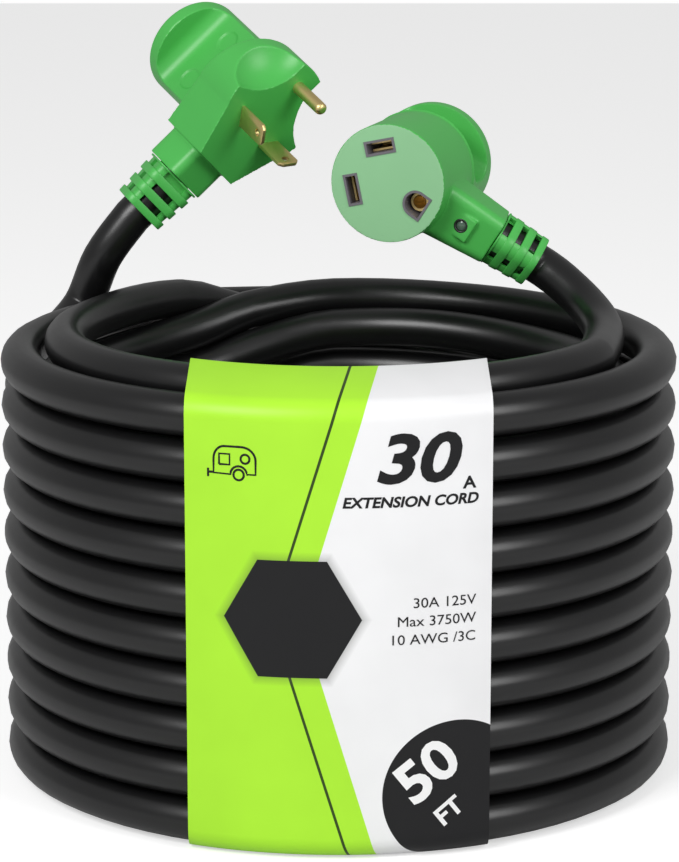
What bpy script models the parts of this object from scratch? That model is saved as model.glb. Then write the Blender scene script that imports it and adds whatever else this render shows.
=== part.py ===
"""Shore power cord: a 30 A extension cord wound in an upright two-layer coil, with its plug,
its connector and a card sleeve. Metres, +Z up, origin under the middle of the whole, on the floor."""

import math

import bmesh
import bpy
from mathutils import Euler, Matrix, Vector

# Driving dimensions, in metres
FIT = 0.0003                  # gap kept between neighbouring pieces
JACKET_D = 0.0166             # cord jacket, outside
TURN_PITCH = 0.0176           # from turn to turn, up the coil and across its two layers
OUTER_TURN_R = 0.1275         # centre line of the outer layer
LEVELS = 10                   # turns in the outer layer's height
TOP_TURN_RISE = 0.0066        # how far the inner layer sits above the outer one
SLEEVE_T = 0.0007             # card of the sleeve
SLEEVE_HALF_W = 0.0588        # half the card's width, along the cord
SLEEVE_GAP = 0.0014           # card to turns, beside the coil
CONDUCTOR_D = 0.0042          # insulated conductor

# Pin layout shared by the plug and the connector, from the middle of the face
BLADE_OFFSET = 0.0108         # each blade's middle, along both axes
GROUND_OFFSET = 0.0145
BLADE_W = 0.0096
BLADE_T = 0.0016
BLADE_L = 0.0185
GROUND_D = 0.0054
GROUND_L = 0.0205
BLADE_HOLE_D = 0.0032

# Plug
PLUG_R = 0.0240
PLUG_DEPTH = 0.0235           # face to the back of the grip block, on the axis
PLUG_BACK_SLOPE = math.radians(9.5)
PLUG_NECK_START = -0.034
PLUG_NECK_END = -0.048
PLUG_NECK_W = 0.0224
PLUG_NECK_Z = -0.0155
PLUG_LENGTH = 0.0658          # face to the back of the handle
PLUG_HANDLE_R = 0.0220
PLUG_HANDLE_X = -0.0037       # handle's middle, off the face's
PLUG_RELIEF_L = 0.0214
PLUG_RELIEF_ROOT = 0.0222
PLUG_RELIEF_TIP = 0.0204
PLUG_CORE_TOP = -0.0030
PLUG_CORE_T = 0.0080

# Connector
CONNECTOR_R = 0.0245
CONNECTOR_DEPTH = 0.0410      # face to the back of the barrel
CONNECTOR_LENGTH = 0.0670     # face to the back of the handle
CONNECTOR_HANDLE_R = 0.0252
CONNECTOR_TILT = math.radians(13)
CONNECTOR_NECK_Z = -0.0222    # neck's axis where it leaves the barrel
CONNECTOR_NECK_END = 0.0215   # along the neck from the barrel's side
CONNECTOR_NECK_W = 0.0212
CONNECTOR_RELIEF_L = 0.0200
CONNECTOR_RELIEF_ROOT = 0.0204
CONNECTOR_RELIEF_TIP = 0.0190
CONNECTOR_WALL = 0.0050       # front wall of the overmould
INSERT_DEPTH = 0.0210
SLOT_L = 0.0112
SLOT_W = 0.0043
RIM_T = 0.0010                # grey rim round each slot
U_SLOT_D = 0.0092
LED_D = 0.0054
PAD_W = 0.0103

# Handles, alike on both ends
WEB_T = 0.0170                # grip web between body and handle disc
HANDLE_DISC_T = 0.0075
PLUG_RELIEF_TWIST = math.radians(26)
CONNECTOR_RELIEF_TWIST = math.radians(-60)
RIB_PITCH = 0.0067
RIB_SLOT = 0.0030

CORD_BORE = JACKET_D + 2 * FIT
CONDUCTOR_RING = 0.0036       # conductors' distance from the cord's middle

# Middle of the coil in plan: the ends reach further back than the sleeve reaches forward
COIL_CENTRE = Vector((0, -0.0043, 0))
# The sleeve passes under the coil, so the coil stands on its card
COIL_BASE = SLEEVE_T + FIT
INNER_TURN_R = OUTER_TURN_R - TURN_PITCH
TOP_Z = COIL_BASE + JACKET_D / 2 + (LEVELS - 1) * TURN_PITCH
TOP_TURN_Z = TOP_Z + TOP_TURN_RISE

# Each end's place and turn: X points at the ground pin, Z out of the face
PLUG_AT = COIL_CENTRE + Vector((-0.0272, 0.0829, TOP_Z + 0.0870))
PLUG_TURN = Euler([math.radians(a) for a in (120.5, -43.3, 10.6)])
CONNECTOR_AT = COIL_CENTRE + Vector((0.0200, 0.0450, TOP_Z + 0.0625))
CONNECTOR_TURN = Euler([math.radians(a) for a in (90.6, 32.8, -18.5)])

# Route of the plug's lead, down outside the coil at the back left
PLUG_ROUTE = [
    # degrees round the coil, out from the outer layer, above the top turn
    (139.5, 0.0050, 0.0262),
    (141.5, 0.0176, 0.0090),
    (145.5, 0.0186, -0.0030),
    (152.0, 0.0165, -0.0105),
    (160.0, 0.0080, -0.0155),
    (170.0, 0.0, -TURN_PITCH),
]
PLUG_STUB_POINTS = 4          # the last points of the route, which merge into the coil
# Route of the connector's lead, down onto the inner top turn
CONNECTOR_ROUTE = [
    (28.5, -0.0215, 0.0202),
    (19.0, -0.0175, 0.0120),
    (5.5, -0.0185, 0.0076),
]
TOP_TURN_START = -12
TOP_TURN_END = -212
HUMP_START = 60               # the turn that climbs at the back, to meet the top turn

# Fits inside the ends, and how a tube ends
BARREL_D = 0.0046
BARREL_L = 0.0070
PLUG_WIRE_Z = PLUG_NECK_Z
PLUG_JACKET_END = PLUG_NECK_START - 0.0030
CHAMBER_R = CONNECTOR_R - 0.0045
CHAMBER_FLOOR = -CONNECTOR_DEPTH + 0.0070
CONTACT_FRONT = -0.0060
CONTACT_FLOOR = -0.0195
CONTACT_BACK = -0.0262
CONNECTOR_WIRE_Z = -0.0240
CONNECTOR_JACKET_END = 0.0175
PAD_X = 0.0333
PAD_TOP = -0.0118
LED_LENS_BACK = PAD_TOP - 0.0032
LED_TAIL_Z = -0.0190
STRAIGHT_EXIT = 0.0030        # a lead runs straight this far past its strain relief
END_STEP = 1.0                # degrees, a short last stretch that squares a tube's end
FACE_GAP_ANGLE = math.degrees(FIT / INNER_TURN_R)

GREEN = (0.090, 0.480, 0.110)
BRASS = (0.780, 0.560, 0.250)
BLACK = (0.018, 0.018, 0.019)


def clear_scene():
    for ob in list(bpy.data.objects):
        bpy.data.objects.remove(ob, do_unlink=True)


def new_collection(name):
    collection = bpy.data.collections.new(name)
    bpy.context.scene.collection.children.link(collection)
    return collection


def material(name, colour, roughness, metallic=0.0):
    mat = bpy.data.materials.new(name)
    mat.use_nodes = True
    shader = mat.node_tree.nodes["Principled BSDF"]
    shader.inputs["Base Color"].default_value = (*colour, 1)
    shader.inputs["Roughness"].default_value = roughness
    shader.inputs["Metallic"].default_value = metallic
    mat.diffuse_color = (*colour, 1)
    return mat


def link(ob, collection, parent=None):
    collection.objects.link(ob)
    ob.parent = parent
    return ob


def mesh_object(name, bm, collection=None, parent=None, mat=None):
    mesh = bpy.data.meshes.new(name)
    bmesh.ops.recalc_face_normals(bm, faces=bm.faces)
    bm.to_mesh(mesh)
    bm.free()
    mesh.shade_smooth()
    mesh.set_sharp_from_angle(angle=math.radians(35))
    if mat:
        mesh.materials.append(mat)
    return link(bpy.data.objects.new(name, mesh), collection or CUTTERS, parent)


def move(ob, matrix):
    """Place an object's mesh, so its own location stays at its parent's."""
    ob.data.transform(matrix)
    return ob


def box(name, lo, hi, collection=None, parent=None, mat=None, bevel=0.0, segments=2):
    bm = bmesh.new()
    bmesh.ops.create_cube(bm, size=1)
    size = [b - a for a, b in zip(lo, hi)]
    middle = [(a + b) / 2 for a, b in zip(lo, hi)]
    bmesh.ops.scale(bm, vec=size, verts=bm.verts)
    bmesh.ops.translate(bm, vec=middle, verts=bm.verts)
    if bevel:
        bmesh.ops.bevel(bm, geom=bm.edges[:], offset=bevel, segments=segments, affect="EDGES")
    return mesh_object(name, bm, collection, parent, mat)


def cylinder(name, radius, z0, z1, collection=None, parent=None, mat=None, steps=32, tip=None):
    bm = bmesh.new()
    bmesh.ops.create_cone(
        bm, cap_ends=True, segments=steps, radius1=radius,
        radius2=radius if tip is None else tip, depth=z1 - z0,
    )
    bmesh.ops.translate(bm, vec=(0, 0, (z0 + z1) / 2), verts=bm.verts)
    return mesh_object(name, bm, collection, parent, mat)


def prism(name, outline, z0, z1, collection=None, parent=None, mat=None, bevel=0.0):
    """A flat outline in X and Y, raised from z0 to z1."""
    curve = bpy.data.curves.new(name, "CURVE")
    curve.dimensions = "2D"
    curve.fill_mode = "BOTH"
    curve.extrude = (z1 - z0) / 2
    spline = curve.splines.new("POLY")
    spline.points.add(len(outline) - 1)
    for point, (x, y) in zip(spline.points, outline):
        point.co = (x, y, 0, 1)
    spline.use_cyclic_u = True
    source = link(bpy.data.objects.new(name, curve), CUTTERS)
    bm = evaluated_bmesh(source)
    bmesh.ops.translate(bm, vec=(0, 0, (z0 + z1) / 2), verts=bm.verts)
    bmesh.ops.dissolve_limit(bm, angle_limit=0.001, verts=bm.verts, edges=bm.edges)
    if bevel:
        rims = [e for e in bm.edges if e.calc_face_angle(0) > 1.2
                and abs(e.verts[0].co.z - e.verts[1].co.z) < 1e-6]
        bmesh.ops.bevel(bm, geom=rims, offset=bevel, segments=2, affect="EDGES")
    return mesh_object(name, bm, collection, parent, mat)


def turned(name, profile, collection=None, parent=None, mat=None, steps=32):
    """A profile of (radius, height), top to bottom, turned round Z."""
    bm = bmesh.new()
    verts = [bm.verts.new((r, 0, z)) for r, z in profile]
    for a, b in zip(verts, verts[1:]):
        bm.edges.new((a, b))
    ob = mesh_object(name, bm, collection, parent, mat)
    screw = ob.modifiers.new("Turn", "SCREW")
    screw.steps = screw.render_steps = steps
    screw.use_merge_vertices = True
    screw.merge_threshold = 0.00001
    return ob


def apply_modifiers(ob):
    bpy.context.view_layer.update()
    evaluated = ob.evaluated_get(bpy.context.evaluated_depsgraph_get())
    mesh = bpy.data.meshes.new_from_object(evaluated)
    ob.modifiers.clear()
    ob.data = mesh
    return ob


def cut(ob, cutter, operation="DIFFERENCE"):
    if cutter.parent is None:
        cutter.parent = ob.parent
    cutter.hide_render = True
    cutter.display_type = "WIRE"
    boolean = ob.modifiers.new(cutter.name, "BOOLEAN")
    boolean.operation = operation
    boolean.object = cutter
    return ob


def arc(cx, cy, radius, start, end, count):
    angles = [math.radians(start + (end - start) * i / count) for i in range(count + 1)]
    return [(cx + radius * math.cos(a), cy + radius * math.sin(a)) for a in angles]


def rounded_square(width, corner, count=3):
    inner = width / 2 - corner
    points = []
    for turn, (sx, sy) in enumerate(((1, 1), (-1, 1), (-1, -1), (1, -1))):
        points += arc(sx * inner, sy * inner, corner, 90 * turn, 90 * turn + 90, count)
    return points


def loft(name, sections, collection=None, parent=None, mat=None):
    """Join equal-count outlines of 3D points, end to end, with flat ends."""
    bm = bmesh.new()
    rings = [[bm.verts.new(p) for p in section] for section in sections]
    for lower, upper in zip(rings, rings[1:]):
        for i in range(len(lower)):
            j = (i + 1) % len(lower)
            bm.faces.new((lower[i], lower[j], upper[j], upper[i]))
    bm.faces.new(rings[0])
    bm.faces.new(list(reversed(rings[-1])))
    return mesh_object(name, bm, collection, parent, mat)


def smooth_path(points, spacing):
    """Points on a Catmull-Rom curve through the route, about a spacing apart."""
    points = [Vector(p) for p in points]
    padded = [2 * points[0] - points[1], *points, 2 * points[-1] - points[-2]]
    out = []
    for p0, p1, p2, p3 in zip(padded, padded[1:], padded[2:], padded[3:]):
        count = max(1, round((p2 - p1).length / spacing))
        for i in range(count):
            t = i / count
            out.append(0.5 * (2 * p1 + (p2 - p0) * t
                              + (2 * p0 - 5 * p1 + 4 * p2 - p3) * t * t
                              + (3 * p1 - p0 - 3 * p2 + p3) * t ** 3))
    return [*out, points[-1]]


def tube(name, points, diameter, collection=None, parent=None, mat=None):
    curve = bpy.data.curves.new(name, "CURVE")
    curve.dimensions = "3D"
    curve.bevel_depth = diameter / 2
    curve.bevel_resolution = 2
    curve.use_fill_caps = True
    spline = curve.splines.new("POLY")
    spline.points.add(len(points) - 1)
    for point, place in zip(spline.points, points):
        point.co = (*place, 1)
    if mat:
        curve.materials.append(mat)
    return link(bpy.data.objects.new(name, curve), collection or CUTTERS, parent)


def tube_mesh(name, points, diameter):
    """A tube as a closed mesh, ready to be joined to another solid."""
    return mesh_object(name, evaluated_bmesh(tube(name + "_curve", points, diameter)))


def evaluated_bmesh(source):
    """A curve object's evaluated mesh, welded closed; the curve is removed."""
    bpy.context.view_layer.update()
    evaluated = source.evaluated_get(bpy.context.evaluated_depsgraph_get())
    mesh = bpy.data.meshes.new_from_object(evaluated)
    bm = bmesh.new()
    bm.from_mesh(mesh)
    bmesh.ops.remove_doubles(bm, verts=bm.verts, dist=0.000001)
    bpy.data.objects.remove(source)
    return bm


def on_turn(angle, radius, z):
    a = math.radians(angle)
    return COIL_CENTRE + Vector((radius * math.cos(a), radius * math.sin(a), z))


def beside_coil(angle, out, up):
    return on_turn(angle, OUTER_TURN_R + out, TOP_Z + up)


def handle(name, start, length, radius, middle=0.0):
    """Grip web and round disc behind a body, with finger hollows on both sides."""
    back = -length
    front = back + HANDLE_DISC_T
    half = WEB_T / 2
    flare = (start + front) / 2
    side = [(radius + 0.002, back), (radius + 0.002, front)]
    side += arc(half + 0.0075, front + 0.0075, 0.0075, 270, 180, 4)
    side += [(half, flare), (half, start)]
    outline = side + [(-y, z) for y, z in reversed(side)]
    web = prism(name, outline, -radius - 0.002, radius + 0.002)
    move(web, Matrix(((0, 0, 1, 0), (1, 0, 0, 0), (0, 1, 0, 0), (0, 0, 0, 1))))
    rim = 0.0022
    profile = [
        (0, start), (radius, start), (radius, back + rim), (radius - 0.0007, back + 0.0007),
        (radius - rim, back), (0, back),
    ]
    round_bar = turned(name + "_round", profile, steps=40)
    apply_modifiers(cut(web, round_bar, "INTERSECT"))
    bpy.data.objects.remove(round_bar)
    return move(web, Matrix.Translation((middle, 0, 0)))


def relief(name, root, tip, length, parent_matrix, parent):
    """Strain relief: a tapered rounded-square sleeve with rib slots, along its own +Z."""
    corner_root, corner_tip = 0.0052, 0.0064
    middle = [(0.0, root, corner_root), (length - 0.0015, tip, corner_tip), (length, tip - 0.0016, 0.0070)]
    sections = [
        [(x, y, z) for x, y in rounded_square(width, corner)] for z, width, corner in middle
    ]
    body = loft(name, sections, PARTS, parent, MATS["green"])
    move(body, parent_matrix)
    bore = cylinder(name + "_bore", CORD_BORE / 2, -0.002, length + 0.002, steps=28)
    cut(body, move(bore, parent_matrix))
    for row in range(3):
        z = 0.0016 + RIB_PITCH * row
        for turn, width in ((0, 0.0104), (math.pi / 2, 0.0052)):
            reach = root if row else root / 2 - 0.0008
            sides = (1,) if row else (1, -1)
            for side in sides:
                lo = (-root if row else side * reach, -width / 2, z)
                hi = (root if row else side * root, width / 2, z + RIB_SLOT)
                lo, hi = [min(p) for p in zip(lo, hi)], [max(p) for p in zip(lo, hi)]
                slot = box(f"{name}_slot_{row}_{turn:.0f}_{side}", lo, hi)
                cut(body, move(slot, parent_matrix @ Matrix.Rotation(turn, 4, "Z")))
    return body


def blade(name, sign, parent, mat):
    """Flat blade set across the line from the face's middle, with a wire barrel behind."""
    half, tip = BLADE_W / 2, 0.0016
    outline = [
        (-half, PLUG_CORE_TOP - PLUG_CORE_T - 0.003), (half, PLUG_CORE_TOP - PLUG_CORE_T - 0.003),
        (half, BLADE_L - tip), (half - tip, BLADE_L), (-half + tip, BLADE_L), (-half, BLADE_L - tip),
    ]
    ob = prism(name, outline, -BLADE_T / 2, BLADE_T / 2, PARTS, parent, mat)
    upright = Matrix.Rotation(math.pi / 2, 4, "X")
    place = Matrix.Translation((-BLADE_OFFSET, sign * BLADE_OFFSET, 0))
    turn = Matrix.Rotation(math.radians(45 * sign), 4, "Z")
    move(ob, place @ turn @ upright)
    hole = cylinder(name + "_hole", BLADE_HOLE_D / 2, -0.003, 0.003, steps=16)
    cut(ob, move(hole, place @ turn @ upright @ Matrix.Translation((0, BLADE_L - 0.0045, 0))))
    barrel = cylinder(name + "_barrel", BARREL_D / 2, 0, BARREL_L, steps=14)
    at = Vector((-BLADE_OFFSET, sign * BLADE_OFFSET, PLUG_WIRE_Z))
    cut(ob, move(barrel, Matrix.Translation(at) @ Matrix.Rotation(-math.pi / 2, 4, "Y")), "UNION")
    return ob


def t_outline(grow):
    """Core outline: across both blades, and a stem to the ground pin."""
    x0, x1, x2 = -BLADE_OFFSET - 0.0058, -0.0040, GROUND_OFFSET + 0.0045
    wide, stem = BLADE_OFFSET + 0.0052, 0.0046
    corners = ((x0, -wide), (x1, -wide), (x1, -stem), (x2, -stem),
               (x2, stem), (x1, stem), (x1, wide), (x0, wide))
    grown = []
    for x, y in corners:
        gx = grow if x > x0 else -grow
        grown.append((x + gx, y + math.copysign(grow, y)))
    return grown


def plug_body(parent):
    neck = PLUG_NECK_W / 2
    deep = -PLUG_DEPTH - 0.012
    outline = arc(0, 0, PLUG_R, -100, 100, 20)
    outline += [(PLUG_NECK_START, neck + 0.0010), (PLUG_NECK_START, -neck - 0.0010)]
    body = prism("plug_body", outline, deep, 0, PARTS, parent, MATS["green"], bevel=0.0008)
    slope = Matrix.Translation((0, 0, -PLUG_DEPTH)) @ Matrix.Rotation(-PLUG_BACK_SLOPE, 4, "Y")
    behind = box("plug_back", (-0.06, -0.04, -0.03), (0.06, 0.04, 0))
    cut(body, move(behind, slope))
    for side in (1, -1):
        bm = bmesh.new()
        bmesh.ops.create_uvsphere(bm, u_segments=28, v_segments=16, radius=1)
        bmesh.ops.scale(bm, vec=(0.0235, 0.0235, 0.0175), verts=bm.verts)
        bmesh.ops.translate(bm, vec=(0.0195, side * 0.0300, 0.0010), verts=bm.verts)
        cut(body, mesh_object(f"plug_scoop_{side}", bm))
    cut(body, handle("plug_handle", -0.016, PLUG_LENGTH, PLUG_HANDLE_R, PLUG_HANDLE_X), "UNION")
    along = Matrix.Translation((0, 0, PLUG_NECK_Z)) @ Matrix.Rotation(-math.pi / 2, 4, "Y")
    sections = [
        [(x, y, z) for x, y in rounded_square(PLUG_NECK_W, 0.0040)]
        for z in (0.012, -PLUG_NECK_END)
    ]
    cut(body, move(loft("plug_neck", sections), along), "UNION")
    for x, z in ((-0.0150, -0.0425), (0.0075, -0.0425)):
        for side in (1, -1):
            dimple = cylinder(f"plug_mark_{x:.3f}_{side}", 0.0050, -0.001, 0.004, steps=20)
            lay = Matrix.Rotation(-side * math.pi / 2, 4, "X")
            cut(body, move(dimple, Matrix.Translation((x, side * (WEB_T / 2 - 0.0002), z)) @ lay))
    # Hollow: core chamber, wire room, cord bore and pin holes
    core_floor = PLUG_CORE_TOP - PLUG_CORE_T
    wire_floor = PLUG_WIRE_Z - BARREL_D / 2 - 0.0014
    cut(body, prism("plug_chamber", t_outline(FIT), wire_floor + 0.0002, PLUG_CORE_TOP + FIT))
    side = [(-BLADE_OFFSET, BLADE_OFFSET + 0.0030), (-0.0220, BLADE_OFFSET + 0.0020), (-0.0330, 0.0095)]
    outline = side + [(x, -y) for x, y in reversed(side)]
    cut(body, prism("plug_wire_room", outline, wire_floor, core_floor + 0.0006))
    bore = cylinder("plug_bore", CORD_BORE / 2, 0.024, -PLUG_NECK_END + 0.004, steps=28)
    cut(body, move(bore, along))
    pin = cylinder("plug_ground_hole", GROUND_D / 2 + FIT, core_floor, 0.002, steps=24)
    cut(body, move(pin, Matrix.Translation((GROUND_OFFSET, 0, 0))))
    for sign in (1, -1):
        half, thick = BLADE_W / 2 + FIT, BLADE_T / 2 + FIT
        slit = box(f"plug_blade_hole_{sign}", (-half, -thick, core_floor), (half, thick, 0.002))
        place = Matrix.Translation((-BLADE_OFFSET, sign * BLADE_OFFSET, 0))
        cut(body, move(slit, place @ Matrix.Rotation(math.radians(45 * sign), 4, "Z")))
    return body


def plug_inside(parent):
    floor = PLUG_CORE_TOP - PLUG_CORE_T
    core = prism("plug_core", t_outline(0), floor, PLUG_CORE_TOP, PARTS, parent, MATS["white"])
    pin = cylinder("plug_core_ground", GROUND_D / 2 + FIT, floor - 0.002, 0.002, steps=24)
    cut(core, move(pin, Matrix.Translation((GROUND_OFFSET, 0, 0))))
    for sign, name in ((1, "plug_hot_blade"), (-1, "plug_neutral_blade")):
        half, thick = BLADE_W / 2 + FIT, BLADE_T / 2 + FIT
        slit = box(f"{name}_core_slot", (-half, -thick, floor - 0.002), (half, thick, 0.002))
        place = Matrix.Translation((-BLADE_OFFSET, sign * BLADE_OFFSET, 0))
        cut(core, move(slit, place @ Matrix.Rotation(math.radians(45 * sign), 4, "Z")))
        blade(name, sign, parent, MATS["brass"])
    r = GROUND_D / 2
    profile = [(0, GROUND_L), (r * 0.5, GROUND_L - r * 0.13), (r * 0.87, GROUND_L - r * 0.5),
               (r, GROUND_L - r), (r, PLUG_WIRE_Z), (0, PLUG_WIRE_Z)]
    ground = turned("plug_ground_pin", profile, PARTS, parent, MATS["brass"], steps=24)
    apply_modifiers(ground)
    move(ground, Matrix.Translation((GROUND_OFFSET, 0, 0)))
    barrel = cylinder("plug_ground_barrel", BARREL_D / 2, 0, BARREL_L, steps=14)
    at = Vector((GROUND_OFFSET, 0, PLUG_WIRE_Z))
    cut(ground, move(barrel, Matrix.Translation(at) @ Matrix.Rotation(-math.pi / 2, 4, "Y")), "UNION")
    ends = conductor_ends(Vector((PLUG_JACKET_END + FIT, 0, PLUG_NECK_Z)), Vector((1, 0, 0)))
    starts = (
        ("plug_hot_wire", (-BLADE_OFFSET - BARREL_L - 2 * FIT, BLADE_OFFSET, PLUG_WIRE_Z), "black"),
        ("plug_neutral_wire", (-BLADE_OFFSET - BARREL_L - 2 * FIT, -BLADE_OFFSET, PLUG_WIRE_Z), "white"),
        ("plug_ground_wire", (GROUND_OFFSET - BARREL_L - 2 * FIT, 0, PLUG_WIRE_Z), "ground"),
    )
    for (name, start, colour), end in zip(starts, ends):
        wire(name, Vector(start), end, Vector((-1, 0, 0)), parent, MATS[colour])


def conductor_ends(middle, inward):
    """Where the three conductors leave the cut jacket: two side by side and one between."""
    across = Vector((0, 1, 0))
    up = inward.cross(across)
    spots = ((1, -0.3), (-1, -0.3), (0, 0.75))
    return [middle + across * CONDUCTOR_RING * a + up * CONDUCTOR_RING * b for a, b in spots]


def wire(name, start, end, heading, parent, mat):
    """A conductor from a barrel to the cord's end, leaving and arriving along the cord."""
    reach = (end - start).length * 0.38
    p = [start, start + heading * reach, end - heading * reach, end]
    count = 7
    points = []
    for i in range(count + 1):
        t = i / count
        points.append(p[0] * (1 - t) ** 3 + p[1] * 3 * t * (1 - t) ** 2
                      + p[2] * 3 * t * t * (1 - t) + p[3] * t ** 3)
    return tube(name, points, CONDUCTOR_D, PARTS, parent, mat)


def connector_neck_matrix():
    """The neck's frame: +Z along the cord's way out, from the barrel's side."""
    way = Vector((math.cos(CONNECTOR_TILT), 0, -math.sin(CONNECTOR_TILT)))
    across = Vector((0, 1, 0))
    third = across.cross(way)
    turn = Matrix((third, across, way)).transposed().to_4x4()
    return Matrix.Translation((CONNECTOR_R, 0, CONNECTOR_NECK_Z)) @ turn


def connector_body(parent):
    profile = [
        (0, 0), (CONNECTOR_R - 0.0014, 0), (CONNECTOR_R - 0.0004, -0.0004), (CONNECTOR_R, -0.0014),
        (CONNECTOR_R, -CONNECTOR_DEPTH + 0.0008), (CONNECTOR_R - 0.0008, -CONNECTOR_DEPTH),
        (0, -CONNECTOR_DEPTH),
    ]
    body = turned("connector_body", profile, PARTS, parent, MATS["green"], steps=48)
    apply_modifiers(body)
    cut(body, handle("connector_handle", -0.036, CONNECTOR_LENGTH, CONNECTOR_HANDLE_R), "UNION")
    neck = connector_neck_matrix()
    sections = [
        [(x, y, z) for x, y in rounded_square(width, 0.0045)]
        for z, width in ((-0.008, 0.0250), (0.004, 0.0236), (CONNECTOR_NECK_END, CONNECTOR_NECK_W))
    ]
    cut(body, move(loft("connector_neck", sections), neck), "UNION")
    pad = box("connector_pad", (PAD_X - PAD_W / 2, -PAD_W / 2, PAD_TOP - 0.006),
              (PAD_X + PAD_W / 2, PAD_W / 2, PAD_TOP), bevel=0.0004, segments=1)
    cut(body, pad, "UNION")
    # Hollow: contact chamber, cord bore, slot windows and lamp well
    floor = -CONNECTOR_WALL
    chamber = cylinder("connector_chamber", CHAMBER_R, CHAMBER_FLOOR, floor, steps=36)
    cut(body, chamber)
    bore = cylinder("connector_bore", CORD_BORE / 2, -0.008, CONNECTOR_NECK_END + 0.004, steps=28)
    cut(body, move(bore, neck))
    mouth = cylinder("connector_bore_mouth", 0.0115, -0.0090, 0.0100, steps=28, tip=0.0083)
    cut(body, move(mouth, neck))
    for name, outline, place in slot_shapes(RIM_T + FIT):
        window = prism(f"connector_window_{name}", outline, floor - 0.0016, 0.001)
        cut(body, move(window, place))
    well = cylinder("connector_lamp_well", LED_D / 2 + FIT, LED_TAIL_Z - 0.001, PAD_TOP + 0.001, steps=20)
    cut(body, move(well, Matrix.Translation((PAD_X, 0, 0))))
    return body


def slot_shapes(grow):
    """Name, outline and place of each slot in the connector's face."""
    half, thick = SLOT_L / 2 + grow, SLOT_W / 2 + grow
    flat = [(-half, -thick), (half, -thick), (half, thick), (-half, thick)]
    shapes = []
    for name, sign in (("hot", 1), ("neutral", -1)):
        turn = Matrix.Rotation(math.radians(45 * sign), 4, "Z")
        shapes.append((name, flat, Matrix.Translation((-BLADE_OFFSET, sign * BLADE_OFFSET, 0)) @ turn))
    r = U_SLOT_D / 2
    u_shape = [(r * 0.85 + grow, -r - grow), (r * 0.85 + grow, r + grow)]
    u_shape += arc(0, 0, r + grow, 90, 270, 12)
    shapes.append(("ground", u_shape, Matrix.Translation((GROUND_OFFSET, 0, 0))))
    return shapes


def connector_inside(parent):
    floor = -CONNECTOR_WALL - FIT
    insert = cylinder("connector_insert", CHAMBER_R - FIT, -INSERT_DEPTH, floor, PARTS, parent,
                      MATS["grey"], steps=36)
    for name, outline, place in slot_shapes(RIM_T):
        rim = prism(f"connector_rim_{name}", outline, floor - 0.001, 0.00035)
        cut(insert, move(rim, place), "UNION")
    for name, outline, place in slot_shapes(0):
        hole = prism(f"connector_slot_{name}", outline, -INSERT_DEPTH - 0.001, 0.002)
        cut(insert, move(hole, place))
    neck = connector_neck_matrix()
    way = (neck @ Vector((0, 0, 1)) - neck @ Vector((0, 0, 0))).normalized()
    ends = conductor_ends(neck @ Vector((0, 0, CONNECTOR_JACKET_END - FIT)), -way)
    for sign, name, colour, end in ((1, "hot", "black", ends[0]), (-1, "neutral", "white", ends[1])):
        length, width = SLOT_L - 2 * FIT, SLOT_W - 2 * FIT
        contact = box(f"connector_{name}_contact", (-length / 2, -width / 2, CONTACT_BACK),
                      (length / 2, width / 2, CONTACT_FRONT), PARTS, parent, MATS["brass"])
        gap = BLADE_T / 2 + 0.0002
        inner = box(f"{name}_contact_gap", (-length / 2 - 0.001, -gap, CONTACT_FLOOR),
                    (length / 2 + 0.001, gap, CONTACT_FRONT + 0.001))
        place = Matrix.Translation((-BLADE_OFFSET, sign * BLADE_OFFSET, 0))
        turn = Matrix.Rotation(math.radians(45 * sign), 4, "Z")
        cut(contact, move(inner, place @ turn))
        move(contact, place @ turn)
        add_barrel(contact, Vector((-BLADE_OFFSET, sign * BLADE_OFFSET, CONNECTOR_WIRE_Z)))
        start = Vector((-BLADE_OFFSET + BARREL_L + 2 * FIT, sign * BLADE_OFFSET, CONNECTOR_WIRE_Z))
        wire(f"connector_{name}_wire", start, end, way, parent, MATS[colour])
    outer = U_SLOT_D / 2 - FIT - 0.0004
    contact = cylinder("connector_ground_contact", outer, CONTACT_BACK, CONTACT_FRONT, PARTS, parent,
                       MATS["brass"], steps=24)
    inner = cylinder("ground_contact_gap", GROUND_D / 2 + 0.0002, CONTACT_FLOOR, CONTACT_FRONT + 0.001,
                     steps=20)
    place = Matrix.Translation((GROUND_OFFSET, 0, 0))
    cut(contact, move(inner, place))
    move(contact, place)
    add_barrel(contact, Vector((GROUND_OFFSET - 0.003, 0, CONNECTOR_WIRE_Z)))
    start = Vector((GROUND_OFFSET - 0.003 + BARREL_L + 2 * FIT, 0, CONNECTOR_WIRE_Z))
    wire("connector_ground_wire", start, ends[2], way, parent, MATS["ground"])
    lens_profile = [(0, PAD_TOP + 0.0004), (0.0014, PAD_TOP + 0.0002),
                    (LED_D / 2 - 0.0004, PAD_TOP - 0.0002), (LED_D / 2, PAD_TOP - 0.0006),
                    (LED_D / 2, LED_LENS_BACK), (0, LED_LENS_BACK)]
    lens = turned("indicator_lens", lens_profile, PARTS, parent, MATS["lens"], steps=20)
    apply_modifiers(lens)
    move(lens, Matrix.Translation((PAD_X, 0, 0)))
    lamp = cylinder("indicator_led", 0.0015, LED_TAIL_Z, LED_LENS_BACK - FIT, PARTS, parent,
                    MATS["led"], steps=16)
    move(lamp, Matrix.Translation((PAD_X, 0, 0)))


def add_barrel(contact, at):
    barrel = cylinder(contact.name + "_barrel", BARREL_D / 2, 0, BARREL_L, steps=14)
    cut(contact, move(barrel, Matrix.Translation(at) @ Matrix.Rotation(math.pi / 2, 4, "Y")), "UNION")


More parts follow.
